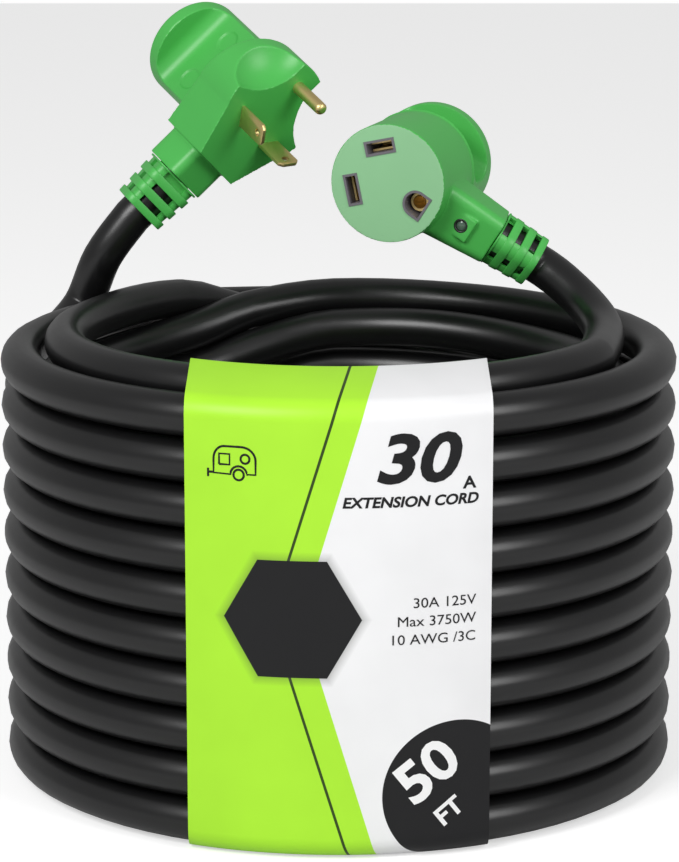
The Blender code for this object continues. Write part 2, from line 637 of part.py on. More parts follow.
def coil():
    """Both layers of turns as one turned ring, with the two stretches that rise from it."""
    radius = JACKET_D / 2
    outer, inner = [], []
    for level in reversed(range(LEVELS)):
        z = COIL_BASE + radius + level * TURN_PITCH
        outer += [(OUTER_TURN_R + x, z + y) for x, y in arc(0, 0, radius, 52, -52, 3)]
    for level in range(LEVELS - 1):
        z = COIL_BASE + radius + TOP_TURN_RISE + level * TURN_PITCH
        inner += [(INNER_TURN_R + x, z + y) for x, y in arc(0, 0, radius, 232, 128, 2)]
    seat = TOP_TURN_Z - TURN_PITCH + radius
    split = OUTER_TURN_R - radius
    top = [(INNER_TURN_R, seat), (split - 0.0004, seat), (split, TOP_Z)]
    crown = [(OUTER_TURN_R + x, TOP_Z + y) for x, y in arc(0, 0, radius, 150, 90, 2)]
    foot = [(OUTER_TURN_R, COIL_BASE), (INNER_TURN_R, COIL_BASE)]
    profile = top + crown + outer + foot + inner
    ring = turned("coil_turns", [*profile, profile[0]], PARTS, None, MATS["jacket"], steps=44)
    move(apply_modifiers(ring), Matrix.Translation(COIL_CENTRE))
    hump = []
    for share in (0, 0.14, 0.28, 0.42, 0.56, 0.70, 0.84, 1 - END_STEP / 88, 1):
        angle = HUMP_START + (360 + TOP_TURN_END - HUMP_START) * share
        rise = share * share * (3 - 2 * share)
        low = TOP_TURN_Z - TURN_PITCH - 0.0008
        hump.append(on_turn(angle - FACE_GAP_ANGLE * share, INNER_TURN_R, low + (TOP_TURN_Z - low) * rise))
    cut(ring, tube_mesh("coil_hump", hump, JACKET_D), "UNION")
    cut(ring, tube_mesh("coil_stub", plug_lead_points()[1], JACKET_D), "UNION")
    return ring


def plug_lead_points():
    """The lead's points, and those of the stub that carries it into the coil."""
    matrix = Matrix.LocRotScale(PLUG_AT, PLUG_TURN, None)
    way_out = PLUG_NECK_END - PLUG_RELIEF_L - STRAIGHT_EXIT
    inside = [matrix @ Vector((x, 0, PLUG_NECK_Z)) for x in (PLUG_JACKET_END, way_out)]
    middle = (inside[0] + inside[1]) / 2
    points = smooth_path([inside[1], *[beside_coil(*p) for p in PLUG_ROUTE]], 1.6 * JACKET_D)
    lead, stub = points[:-PLUG_STUB_POINTS], points[-PLUG_STUB_POINTS:]
    split = (lead[-1] + stub[0]) / 2
    onward = (stub[0] - lead[-1]).normalized()
    return [inside[0], middle, *lead, split], [split + onward * FIT, *stub]


def connector_lead_points():
    matrix = Matrix.LocRotScale(CONNECTOR_AT, CONNECTOR_TURN, None) @ connector_neck_matrix()
    way_out = CONNECTOR_NECK_END + CONNECTOR_RELIEF_L + STRAIGHT_EXIT
    inside = [matrix @ Vector((0, 0, z)) for z in (CONNECTOR_JACKET_END, way_out)]
    middle = [(inside[0] + inside[1]) / 2]
    route = [beside_coil(*p) for p in CONNECTOR_ROUTE]
    joins = on_turn(TOP_TURN_START, INNER_TURN_R, TOP_TURN_Z)
    lead = smooth_path([inside[1], *route, joins], 1.6 * JACKET_D)
    steps = 16
    turn = [TOP_TURN_START + (TOP_TURN_END - TOP_TURN_START) * i / steps for i in range(1, steps)]
    turn += [TOP_TURN_END + END_STEP, TOP_TURN_END]
    return [inside[0], *middle, *lead, *[on_turn(a, INNER_TURN_R, TOP_TURN_Z) for a in turn]]


def sleeve():
    """Card band round the coil's section, across the front."""
    radius = JACKET_D / 2
    out = OUTER_TURN_R + radius + SLEEVE_GAP
    inn = INNER_TURN_R - radius - SLEEVE_GAP
    high, low = TOP_TURN_Z + radius + SLEEVE_GAP, TOP_Z + radius + SLEEVE_GAP
    base = SLEEVE_T

    def section(grow):
        r = radius + grow
        points = arc(out - radius, base + radius, r, -90, 0, 5)
        points += arc(out - radius, low - radius, r, 0, 75, 5)
        points += arc(inn + radius, high - radius, r, 90, 180, 5)
        points += arc(inn + radius, base + radius, r, 180, 270, 5)
        return points

    bm = bmesh.new()
    steps = 14
    rings = []
    for i in range(steps + 1):
        along = SLEEVE_HALF_W * (2 * i / steps - 1)
        rings.append([bm.verts.new((r * math.sin(along / r), -r * math.cos(along / r), z))
                      for r, z in section(0)])
    count = len(rings[0])
    for ring, following in zip(rings, rings[1:]):
        for i in range(count):
            j = (i + 1) % count
            bm.faces.new((ring[i], following[i], following[j], ring[j]))
    band = mesh_object("label_sleeve", bm, PARTS, None, MATS["card"])
    card = band.modifiers.new("Card", "SOLIDIFY")
    card.thickness = SLEEVE_T
    card.offset = 1
    card.use_even_offset = True
    return move(band, Matrix.Translation(COIL_CENTRE))



clear_scene()
PARTS = new_collection("shore_power_cord")
CUTTERS = new_collection("cutters")
MATS = {
    "green": material("green_vinyl", GREEN, 0.45),
    "brass": material("brass", BRASS, 0.28, 1.0),
    "jacket": material("black_jacket", BLACK, 0.45),
    "white": material("white_plastic", (0.85, 0.85, 0.82), 0.4),
    "black": material("black_insulation", (0.03, 0.03, 0.03), 0.4),
    "ground": material("green_insulation", (0.05, 0.30, 0.08), 0.4),
    "grey": material("grey_insert", (0.22, 0.22, 0.23), 0.5),
    "lens": material("clear_lens", (0.75, 0.80, 0.78), 0.1),
    "led": material("lamp_resin", (0.70, 0.85, 0.70), 0.2),
    "card": material("printed_card", (0.55, 0.75, 0.10), 0.5),
}


def main():
    plug_frame = link(bpy.data.objects.new("plug_frame", None), PARTS)
    plug_frame.location = PLUG_AT
    plug_frame.rotation_euler = PLUG_TURN
    connector_frame = link(bpy.data.objects.new("connector_frame", None), PARTS)
    connector_frame.location = CONNECTOR_AT
    connector_frame.rotation_euler = CONNECTOR_TURN
    bpy.context.view_layer.update()

    plug_body(plug_frame)
    plug_inside(plug_frame)
    cable = Matrix.Translation((PLUG_NECK_END - FIT, 0, PLUG_NECK_Z))
    cable = cable @ Matrix.Rotation(-math.pi / 2, 4, "Y") @ Matrix.Rotation(PLUG_RELIEF_TWIST, 4, "Z")
    relief("plug_strain_relief", PLUG_RELIEF_ROOT, PLUG_RELIEF_TIP, PLUG_RELIEF_L - FIT, cable, plug_frame)

    connector_body(connector_frame)
    connector_inside(connector_frame)
    neck = connector_neck_matrix() @ Matrix.Translation((0, 0, CONNECTOR_NECK_END + FIT))
    neck = neck @ Matrix.Rotation(CONNECTOR_RELIEF_TWIST, 4, "Z")
    relief("connector_strain_relief", CONNECTOR_RELIEF_ROOT, CONNECTOR_RELIEF_TIP, CONNECTOR_RELIEF_L - FIT,
           neck, connector_frame)

    coil()
    tube("plug_lead", plug_lead_points()[0], JACKET_D, PARTS, None, MATS["jacket"])
    tube("connector_lead", connector_lead_points(), JACKET_D, PARTS, None, MATS["jacket"])
    sleeve()


main()
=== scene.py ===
import math
import bpy
from mathutils import Euler, Matrix, Vector


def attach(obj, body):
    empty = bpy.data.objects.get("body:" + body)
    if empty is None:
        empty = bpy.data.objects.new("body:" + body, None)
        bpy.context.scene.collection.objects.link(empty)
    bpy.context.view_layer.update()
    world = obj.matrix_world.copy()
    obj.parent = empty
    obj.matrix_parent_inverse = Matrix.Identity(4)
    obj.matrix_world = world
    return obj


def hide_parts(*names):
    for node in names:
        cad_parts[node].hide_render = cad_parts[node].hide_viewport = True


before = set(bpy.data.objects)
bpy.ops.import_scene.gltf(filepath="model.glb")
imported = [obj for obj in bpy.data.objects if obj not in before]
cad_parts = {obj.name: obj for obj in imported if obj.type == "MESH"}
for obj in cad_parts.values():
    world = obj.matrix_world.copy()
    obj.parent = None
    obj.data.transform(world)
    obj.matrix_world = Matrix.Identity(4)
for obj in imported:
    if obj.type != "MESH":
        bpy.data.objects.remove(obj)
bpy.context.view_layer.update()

# where things are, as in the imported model
coil = {"centre": Vector((0, -0.0043, 0)), "jacket": 0.0166, "pitch": 0.0176,
        "outer": 0.1275, "inner": 0.1099, "firstLevel": 0.0093, "topRise": 0.0066}
plugPose = {"at": Vector((-0.0272, 0.0829, 0.2547)), "turn": (120.5, -43.3, 10.6),
            "cable": (-0.0480, 0, -0.0155)}
connectorPose = {"at": Vector((0.0200, 0.0450, 0.2302)), "turn": (90.6, 32.8, -18.5),
                 "cable": (0.0245, 0, -0.0222), "neckTilt": math.radians(13), "neckLength": 0.0215}


def poseMatrix(pose):
    turn = Euler([math.radians(a) for a in pose["turn"]])
    return Matrix.LocRotScale(coil["centre"] + pose["at"], turn, None)


plugPlace = poseMatrix(plugPose)
connectorPlace = poseMatrix(connectorPose)
plugCable = Matrix.Translation(plugPose["cable"]) @ Matrix.Rotation(-math.pi / 2, 4, "Y")
connectorCable = (Matrix.Translation(connectorPose["cable"])
                  @ Matrix.Rotation(math.pi / 2 + connectorPose["neckTilt"], 4, "Y"))

# camera
camera = {"at": (0, -1.4585, 0.458), "down": 14.257, "lens": 194.76, "shift": (0.0013, 0.1677)}
cameraData = bpy.data.cameras.new("camera")
cameraObject = bpy.data.objects.new("camera", cameraData)
bpy.context.scene.collection.objects.link(cameraObject)
cameraObject.location = camera["at"]
cameraObject.rotation_euler = (math.radians(90 - camera["down"]), 0, 0)
cameraData.sensor_fit = "HORIZONTAL"
cameraData.sensor_width = 36
cameraData.lens = camera["lens"]
cameraData.shift_x, cameraData.shift_y = camera["shift"]
cameraData.clip_end = 20
bpy.context.scene.camera = cameraObject
bpy.context.scene.view_settings.view_transform = "Standard"
print("camera set")


# cord: one line from the plug, through both layers, to the connector
def level(k):
    return coil["firstLevel"] + (k - 1) * coil["pitch"]


def innerLevel(k):
    return level(k) + coil["topRise"]


def ease(keys, x):
    # smooth between the keys, and never past one
    last = len(keys) - 1
    slopes = [(b[1] - a[1]) / (b[0] - a[0]) for a, b in zip(keys, keys[1:])]
    i = next((i for i in range(last) if x < keys[i + 1][0]), last - 1)
    ends = []
    for j in (i, i + 1):
        tangent = 0.0
        if 0 < j < last and slopes[j - 1] * slopes[j] > 0:
            before, after = keys[j][0] - keys[j - 1][0], keys[j + 1][0] - keys[j][0]
            w1, w2 = 2 * after + before, after + 2 * before
            tangent = (w1 + w2) / (w1 / slopes[j - 1] + w2 / slopes[j])
        ends.append(tangent)
    span = keys[i + 1][0] - keys[i][0]
    t = (x - keys[i][0]) / span
    return (keys[i][1] * (1 + 2 * t) * (1 - t) ** 2 + ends[0] * span * t * (1 - t) ** 2
            + keys[i + 1][1] * t * t * (3 - 2 * t) + ends[1] * span * t * t * (t - 1))


def windingKeys():
    # degrees wound, radius, height; 90 is the back and 270 the front
    ro, ri, p, d = coil["outer"], coil["inner"], coil["pitch"], coil["jacket"]
    keys = [(176, ro, level(9)), (390, ro, level(9)),
            (415, ro + 0.45 * p, level(9.12)), (450, ro + 1.02 * p, level(9.6)),
            (470, ro + 0.86 * p, level(9.72)), (485, ro + 0.40 * p, level(9.9)),
            (499, ro, level(10)), (750, ro, level(10)),
            (780, ro - 0.25 * p, level(10) + 0.06 * d), (810, ro - 0.6 * p, level(10) + 0.12 * d),
            (830, ri + 0.03 * p, level(10) - 0.06 * d), (845, ri - 0.1 * p, level(10) - 0.44 * d),
            (870, ri, innerLevel(9) - 0.02 * d), (900, ri, innerLevel(9)), (1110, ri, innerLevel(9)),
            (1150, ri - 0.0070, 0.1600), (1170, ri - 0.0078, 0.1590), (1190, ri - 0.0068, 0.1515),
            (1205, ri - 0.0030, 0.1436), (1235, ri, innerLevel(8) + 0.0006), (1460, ri, innerLevel(8)),
            (1530, ri, 0.1408), (1560, ri, 0.1275), (1590, ri, innerLevel(7))]
    for k in range(7, 1, -1):
        start = 1590 + 360 * (7 - k)
        keys += [(start + 240, ri, innerLevel(k)), (start + 360, ri, innerLevel(k - 1))]
    start = 1590 + 360 * 6
    keys += [(start + 225, ri, innerLevel(1)), (start + 300, ri + 0.4 * p, level(1)),
             (start + 345, ro, level(1))]
    for k in range(1, 8):
        start = 1590 + 360 * (6 + k)
        bulge = 0.12 * p if k == 1 else 0
        keys += [(start + 240, ro, level(k)), (start + 300, ro + bulge, level(k + 0.83)),
                 (start + 335, ro, level(k + 1))]
    start = 1590 + 360 * 14
    keys += [(start + 240, ro, level(8)), (start + 270, ro, level(8.3)),
             (start + 300, ro + 0.1 * p, level(9.0)), (start + 320, ro - 0.08 * p, level(9.72)),
             (start + 335, ri + 0.50 * p, 0.1728), (start + 350, ri + 0.12 * p, 0.1745),
             (start + 370, ri, level(10) + 0.4 * d), (start + 480, ri, level(10) + 0.45 * d),
             (start + 545, ri, level(10) + 0.45 * d)]
    return keys


def windingPoints(step):
    keys = windingKeys()
    radii = [(k[0], k[1]) for k in keys]
    heights = [(k[0], k[2]) for k in keys]
    count = round((keys[-1][0] - keys[0][0]) / step)
    points = []
    for i in range(count + 1):
        angle = keys[0][0] + (keys[-1][0] - keys[0][0]) * i / count
        r, a = ease(radii, angle), math.radians(angle)
        points.append(coil["centre"] + Vector((r * math.cos(a), r * math.sin(a), ease(heights, angle))))
    return points


def throughPoints(points, spacing):
    # an even curve through every point
    padded = [2 * points[0] - points[1], *points, 2 * points[-1] - points[-2]]
    out = []
    for p0, p1, p2, p3 in zip(padded, padded[1:], padded[2:], padded[3:]):
        count = max(1, round((p2 - p1).length / spacing))
        for i in range(count):
            t = i / count
            out.append(0.5 * (2 * p1 + (p2 - p0) * t + (2 * p0 - 5 * p1 + 4 * p2 - p3) * t * t
                              + (3 * p1 - p0 - 3 * p2 + p3) * t ** 3))
    return out + [points[-1]]


cord = {"plugInside": 0.0110, "plugRelief": 0.0214, "plugPast": 0.0250, "connectorInside": 0.0040,
        "connectorRelief": 0.0200, "connectorPast": 0.0240, "firstInside": 0.005,
        "windingStep": 5, "spacing": 0.004,
        "plugRoute": [(-0.1000, 0.0852, 0.1930), (-0.1097, 0.0935, 0.1707), (-0.1228, 0.0715, 0.1575),
                      (-0.1292, 0.0400, 0.1516)],
        "connectorRoute": [(0.1075, 0.0090, 0.1738), (0.1040, 0.0350, 0.1792), (0.0931, 0.0505, 0.1882)]}


def onCable(place, cable, along):
    return place @ cable @ Vector((0, 0, along))


def cordPoints():
    wound = windingPoints(cord["windingStep"])
    shift = coil["centre"]
    plugSide = [onCable(plugPlace, plugCable, s)
                for s in (-cord["plugInside"], cord["firstInside"], cord["plugRelief"], cord["plugPast"])]
    plugSide += [shift + Vector(p) for p in cord["plugRoute"]]
    plugSide = throughPoints(plugSide + [wound[0], wound[2]], cord["spacing"])
    end = plugSide.index(min(plugSide, key=lambda q: (q - wound[0]).length))
    connectorSide = [wound[-3], wound[-1]] + [shift + Vector(p) for p in cord["connectorRoute"]]
    connectorSide += [onCable(connectorPlace, connectorCable, connectorPose["neckLength"] + s)
                      for s in (cord["connectorPast"], cord["connectorRelief"], cord["firstInside"],
                                -cord["connectorInside"])]
    connectorSide = throughPoints(connectorSide, cord["spacing"])
    begin = connectorSide.index(min(connectorSide, key=lambda q: (q - wound[-1]).length))
    return plugSide[:end] + wound + connectorSide[begin + 1:]


cordLine = cordPoints()
cordCurve = bpy.data.curves.new("cord", "CURVE")
cordCurve.dimensions = "3D"
cordCurve.bevel_depth = coil["jacket"] / 2
cordCurve.bevel_resolution = 6
cordCurve.use_fill_caps = True
cordCurve.twist_mode = "MINIMUM"
spline = cordCurve.splines.new("POLY")
spline.points.add(len(cordLine) - 1)
for point, place in zip(spline.points, cordLine):
    point.co = (*place, 1)
spline.use_smooth = True
cordObject = bpy.data.objects.new("cord", cordCurve)
bpy.context.scene.collection.objects.link(cordObject)
bpy.ops.object.select_all(action="DESELECT")
cordObject.select_set(True)
bpy.context.view_layer.objects.active = cordObject
bpy.ops.object.convert(target="MESH")
cordObject = bpy.context.object
for face in cordObject.data.polygons:
    face.use_smooth = True
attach(cordObject, "root")
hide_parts("coil_turns", "plug_lead", "connector_lead")


# hand tools used for every piece
boreRadius = coil["jacket"] / 2 + 0.0002


def deselectAll():
    if bpy.context.object and bpy.context.object.mode != "OBJECT":
        bpy.ops.object.mode_set(mode="OBJECT")
    bpy.ops.object.select_all(action="DESELECT")


def pickOnly(ob):
    deselectAll()
    ob.select_set(True)
    bpy.context.view_layer.objects.active = ob


def added(name):
    ob = bpy.context.object
    ob.name = name
    ob.data.name = name
    bpy.ops.object.transform_apply(location=True, rotation=True, scale=True)
    return ob


def addBlock(name, low, high):
    deselectAll()
    middle = [(a + b) / 2 for a, b in zip(low, high)]
    bpy.ops.mesh.primitive_cube_add(size=1, location=middle, scale=[b - a for a, b in zip(low, high)])
    return added(name)


def addRod(name, radius, low, high, x=0.0, sides=96):
    deselectAll()
    bpy.ops.mesh.primitive_cylinder_add(vertices=sides, radius=radius, depth=high - low,
                                        location=(x, 0, (low + high) / 2))
    return added(name)


def addBall(name, middle, radii, turns=64):
    deselectAll()
    bpy.ops.mesh.primitive_uv_sphere_add(segments=turns, ring_count=turns // 2, location=middle, scale=radii)
    return added(name)


def stretchEnd(ob, test, scale, about):
    pickOnly(ob)
    bpy.ops.object.mode_set(mode="EDIT")
    bpy.ops.mesh.select_mode(type="VERT")
    bpy.ops.mesh.select_all(action="DESELECT")
    bpy.ops.object.mode_set(mode="OBJECT")
    for v in ob.data.vertices:
        v.select = test(v.co)
    bpy.ops.object.mode_set(mode="EDIT")
    bpy.ops.transform.resize(value=scale, center_override=about)
    bpy.ops.object.mode_set(mode="OBJECT")


def roundEdges(ob, width, segments, test):
    pickOnly(ob)
    bpy.ops.object.mode_set(mode="EDIT")
    bpy.ops.mesh.select_mode(type="EDGE")
    bpy.ops.mesh.select_all(action="DESELECT")
    bpy.ops.object.mode_set(mode="OBJECT")
    verts = ob.data.vertices
    for e in ob.data.edges:
        e.select = test(verts[e.vertices[0]].co, verts[e.vertices[1]].co)
    bpy.ops.object.mode_set(mode="EDIT")
    bpy.ops.mesh.bevel(offset=width, segments=segments, affect="EDGES")
    bpy.ops.object.mode_set(mode="OBJECT")


def cutAway(ob, point, normal):
    pickOnly(ob)
    bpy.ops.object.mode_set(mode="EDIT")
    bpy.ops.mesh.select_all(action="SELECT")
    bpy.ops.mesh.bisect(plane_co=point, plane_no=normal, use_fill=True, clear_inner=True)
    bpy.ops.object.mode_set(mode="OBJECT")


def settle(ob):
    pickOnly(ob)
    for m in list(ob.modifiers):
        bpy.ops.object.modifier_apply(modifier=m.name)
    return ob


def combine(ob, other, how="UNION"):
    m = ob.modifiers.new("join", "BOOLEAN")
    m.operation = how
    m.object = other
    m.solver = "EXACT"
    settle(ob)
    bpy.data.objects.remove(other)
    return ob


def mould(ob, voxel, rounds):
    skin = ob.modifiers.new("skin", "REMESH")
    skin.mode = "VOXEL"
    skin.voxel_size = voxel
    soften = ob.modifiers.new("soften", "SMOOTH")
    soften.factor = 0.5
    soften.iterations = rounds
    return settle(ob)


def smoothShade(ob, angle=35):
    pickOnly(ob)
    bpy.ops.object.shade_smooth_by_angle(angle=math.radians(angle))


def finishPiece(ob, place, mat, nodes=()):
    ob.data.transform(place)
    ob.data.materials.clear()
    for m in (mat if isinstance(mat, list) else [mat]):
        ob.data.materials.append(m)
    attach(ob, "root")
    if nodes:
        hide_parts(*nodes)
    return ob


# finishes
grainSettings = {"fineDetail": 3, "broadScale": 38, "broadDetail": 2, "bumpDistance": 0.0002,
                 "fineShare": 0.4, "broadShare": 0.6, "shadeSpan": 0.12, "shadeLow": 0.94}


def newMaterial(name, colour, roughness, metallic=0.0, specular=0.5):
    mat = bpy.data.materials.new(name)
    mat.use_nodes = True
    shader = mat.node_tree.nodes["Principled BSDF"]
    shader.inputs["Base Color"].default_value = (*colour, 1)
    shader.inputs["Roughness"].default_value = roughness
    shader.inputs["Metallic"].default_value = metallic
    shader.inputs["Specular IOR Level"].default_value = specular
    return mat, mat.node_tree, shader


def link(tree, a, b):
    tree.links.new(a, b)


def mathNode(tree, operation, a, b=None, c=None, clamp=False):
    node = tree.nodes.new("ShaderNodeMath")
    node.operation = operation
    node.use_clamp = clamp
    for i, value in enumerate((a, b, c)):
        if value is None:
            continue
        if isinstance(value, (int, float)):
            node.inputs[i].default_value = value
        else:
            link(tree, value, node.inputs[i])
    return node.outputs[0]


def mouldedGrain():
    # fine surface grain with a broad, faint change of shade
    s = grainSettings
    group = bpy.data.node_groups.new("moulded grain", "ShaderNodeTree")
    for name, kind, value in (("Scale", "NodeSocketFloat", 900.0), ("Depth", "NodeSocketFloat", 0.1),
                              ("Rough low", "NodeSocketFloat", 0.35), ("Rough high", "NodeSocketFloat", 0.5)):
        socket = group.interface.new_socket(name, in_out="INPUT", socket_type=kind)
        socket.default_value = value
    for name, kind in (("Shade", "NodeSocketFloat"), ("Roughness", "NodeSocketFloat"),
                       ("Normal", "NodeSocketVector")):
        group.interface.new_socket(name, in_out="OUTPUT", socket_type=kind)
    inside = group.nodes.new("NodeGroupInput")
    outside = group.nodes.new("NodeGroupOutput")
    coords = group.nodes.new("ShaderNodeTexCoord")
    fine = group.nodes.new("ShaderNodeTexNoise")
    fine.inputs["Detail"].default_value = s["fineDetail"]
    broad = group.nodes.new("ShaderNodeTexNoise")
    broad.inputs["Scale"].default_value = s["broadScale"]
    broad.inputs["Detail"].default_value = s["broadDetail"]
    link(group, coords.outputs["Object"], fine.inputs["Vector"])
    link(group, coords.outputs["Object"], broad.inputs["Vector"])
    link(group, inside.outputs["Scale"], fine.inputs["Scale"])
    bump = group.nodes.new("ShaderNodeBump")
    bump.inputs["Distance"].default_value = s["bumpDistance"]
    link(group, inside.outputs["Depth"], bump.inputs["Strength"])
    link(group, fine.outputs["Fac"], bump.inputs["Height"])
    mixed = mathNode(group, "ADD", mathNode(group, "MULTIPLY", fine.outputs["Fac"], s["fineShare"]),
                     mathNode(group, "MULTIPLY", broad.outputs["Fac"], s["broadShare"]))
    span = mathNode(group, "SUBTRACT", inside.outputs["Rough high"], inside.outputs["Rough low"])
    rough = mathNode(group, "MULTIPLY_ADD", mixed, span, inside.outputs["Rough low"])
    link(group, rough, outside.inputs["Roughness"])
    shade = mathNode(group, "MULTIPLY_ADD", broad.outputs["Fac"], s["shadeSpan"], s["shadeLow"])
    link(group, shade, outside.inputs["Shade"])
    link(group, bump.outputs["Normal"], outside.inputs["Normal"])
    return group


grainGroup = mouldedGrain()


def grained(name, colour, roughLow, roughHigh, depth=0.1, scale=900.0, specular=0.5, metallic=0.0):
    mat, tree, shader = newMaterial(name, colour, roughLow, metallic, specular)
    grain = tree.nodes.new("ShaderNodeGroup")
    grain.node_tree = grainGroup
    for socket, value in (("Scale", scale), ("Depth", depth), ("Rough low", roughLow),
                          ("Rough high", roughHigh)):
        grain.inputs[socket].default_value = value
    tint = tree.nodes.new("ShaderNodeMix")
    tint.data_type = "RGBA"
    tint.blend_type = "MULTIPLY"
    tint.inputs["Factor"].default_value = 1.0
    tint.inputs[6].default_value = (*colour, 1)
    link(tree, grain.outputs["Shade"], tint.inputs[7])
    link(tree, tint.outputs[2], shader.inputs["Base Color"])
    link(tree, grain.outputs["Roughness"], shader.inputs["Roughness"])
    link(tree, grain.outputs["Normal"], shader.inputs["Normal"])
    return mat, tree, shader


greenVinyl = grained("green vinyl", (0.072, 0.455, 0.083), 0.32, 0.44, 0.12)[0]
# a paler copy of the green vinyl: painted light for the connector's flat face, which turns toward the lights
paintedLitFace = grained("green vinyl painted lit face", (0.270, 0.560, 0.290), 0.45, 0.58, 0.15)[0]
brass = grained("brass", (0.86, 0.66, 0.30), 0.34, 0.50, 0.06, 600.0, metallic=1.0)[0]
greyNylon = grained("grey nylon", (0.15, 0.14, 0.16), 0.40, 0.55, 0.1)[0]
darkNylon = grained("dark nylon", (0.02, 0.022, 0.02), 0.25, 0.40, 0.05)[0]
whiteVinyl = grained("white vinyl", (0.80, 0.80, 0.76), 0.35, 0.45)[0]
blackVinyl = grained("black vinyl", (0.02, 0.02, 0.02), 0.35, 0.45)[0]
groundVinyl = grained("green wire vinyl", (0.04, 0.26, 0.07), 0.35, 0.45)[0]
jacket = grained("cord jacket", (0.0052, 0.0052, 0.0055), 0.27, 0.38, 0.10, 1300.0, 0.55)[0]
cordObject.data.materials.append(jacket)
for name, mat in (("plug_core", whiteVinyl), ("connector_insert", greyNylon),
                  ("connector_hot_contact", brass), ("connector_neutral_contact", brass),
                  ("connector_ground_contact", brass), ("plug_hot_wire", blackVinyl),
                  ("plug_neutral_wire", whiteVinyl), ("plug_ground_wire", groundVinyl),
                  ("connector_hot_wire", blackVinyl), ("connector_neutral_wire", whiteVinyl),
                  ("connector_ground_wire", groundVinyl), ("indicator_led", whiteVinyl)):
    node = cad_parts[name]
    node.data.materials.clear()
    node.data.materials.append(mat)
print("finishes made")

# plug
handle = {"rim": 0.0024, "across": 0.0500, "long": 0.06, "hollowRound": 0.0068}
plug = {"radius": 0.0240, "depth": 0.0235, "blankEnd": -0.036, "backSlope": math.radians(9.5),
        "sideFrom": -0.0048, "sideTo": -0.0340, "halfWide": 0.0235, "halfNarrow": 0.0125,
        "web": 0.0170, "length": 0.0658, "disc": 0.0220, "discX": -0.0037, "discThick": 0.0078,
        "gapTop": -0.0200, "handleTop": -0.0180, "neckWidth": 0.0222, "neckStart": -0.0200,
        "neckEnd": plugPose["cable"][0], "neckZ": plugPose["cable"][2], "neckRound": 0.0040,
        "scoop": (0.0195, 0.0300, 0.0010), "scoopRadii": (0.0235, 0.0235, 0.0180),
        "markRadius": 0.0050, "markLong": 0.0030, "markSunk": 0.0006, "markX": (-0.0150, 0.0075),
        "markZ": -0.0425, "boreFrom": -0.0140, "boreTo": 0.0100, "voxel": 0.00050, "softenings": 2}


def fingerHandle(name, settings, start):
    x = settings.get("discX", 0.0)
    body = addRod(name, settings["disc"], -settings["length"], start, x=x, sides=128)
    roundEdges(body, handle["rim"], 5, lambda a, b: max(a.z, b.z) < -settings["length"] + 1e-5
               and abs((a.xy - Vector((x, 0))).length - (b.xy - Vector((x, 0))).length) < 1e-6)
    for side in (1, -1):
        near, far = settings["web"] / 2, handle["across"]
        low = (-handle["long"], min(side * near, side * far), -settings["length"] + settings["discThick"])
        high = (handle["long"], max(side * near, side * far), settings["gapTop"])
        hollow = addBlock("hollow", low, high)
        roundEdges(hollow, handle["hollowRound"], 8, lambda a, b: abs(a.x - b.x) > 0.01)
        combine(body, hollow, "DIFFERENCE")
    return body


def makePlugBody():
    s = plug
    body = addRod("plugBody", s["radius"], s["blankEnd"], 0, sides=160)
    wedge = addBlock("wedge", (s["sideTo"], -s["halfWide"], s["blankEnd"]), (s["sideFrom"], s["halfWide"], 0))
    stretchEnd(wedge, lambda c: c.x < s["sideTo"] + 1e-5, (1, s["halfNarrow"] / s["halfWide"], 1), (0, 0, 0))
    combine(body, wedge)
    cutAway(body, (0, 0, -s["depth"]), (-math.sin(s["backSlope"]), 0, math.cos(s["backSlope"])))
    for side in (1, -1):
        x, y, z = s["scoop"]
        combine(body, addBall("scoop", (x, side * y, z), s["scoopRadii"], 96), "DIFFERENCE")
    combine(body, fingerHandle("handle", s, s["handleTop"]))
    half = s["neckWidth"] / 2
    neck = addBlock("neck", (s["neckEnd"], -half, s["neckZ"] - half),
                    (s["neckStart"], half, s["neckZ"] + half))
    roundEdges(neck, s["neckRound"], 6, lambda a, b: abs(a.x - b.x) > 0.01)
    combine(body, neck)
    for x in s["markX"]:
        for side in (1, -1):
            mark = addRod("mark", s["markRadius"], 0, s["markLong"], sides=48)
            mark.data.transform(Matrix.Translation((x, side * (s["web"] / 2 - s["markSunk"]), s["markZ"]))
                                @ Matrix.Rotation(-side * math.pi / 2, 4, "X"))
            combine(body, mark, "DIFFERENCE")
    mould(body, s["voxel"], s["softenings"])
    bore = addRod("bore", boreRadius, s["boreFrom"], s["boreTo"], sides=64)
    bore.data.transform(plugCable)
    combine(body, bore, "DIFFERENCE")
    smoothShade(body, 40)
    return finishPiece(body, plugPlace, greenVinyl, ["plug_body"])


relief = {"plug": {"length": 0.0214, "root": 0.0225, "tip": 0.0206, "corner": 0.0042,
                   "twist": math.radians(26), "inset": 0.0012},
          "connector": {"length": 0.0200, "root": 0.0204, "tip": 0.0190, "corner": 0.0060,
                        "twist": math.radians(-60), "inset": 0.0005},
          "windows": ((0.0012, 0.0042), (0.0081, 0.0111), (0.0150, 0.0180)),
          "long": 0.0112, "short": 0.0052, "gap": 0.0003, "coreShort": 0.001, "coreCorner": 0.0008,
          "ringRound": 0.00035, "firstWall": 0.0026, "reach": 0.02, "boreFrom": -0.01, "boreTo": 0.04}


def roundedBar(name, width, low, high, corner, taper=1.0):
    bar = addBlock(name, (-width / 2, -width / 2, low), (width / 2, width / 2, high))
    stretchEnd(bar, lambda c: c.z > high - 1e-6, (taper, taper, 1), (0, 0, 0))
    roundEdges(bar, corner, 6, lambda a, b: abs(a.z - b.z) > (high - low) * 0.5)
    return bar


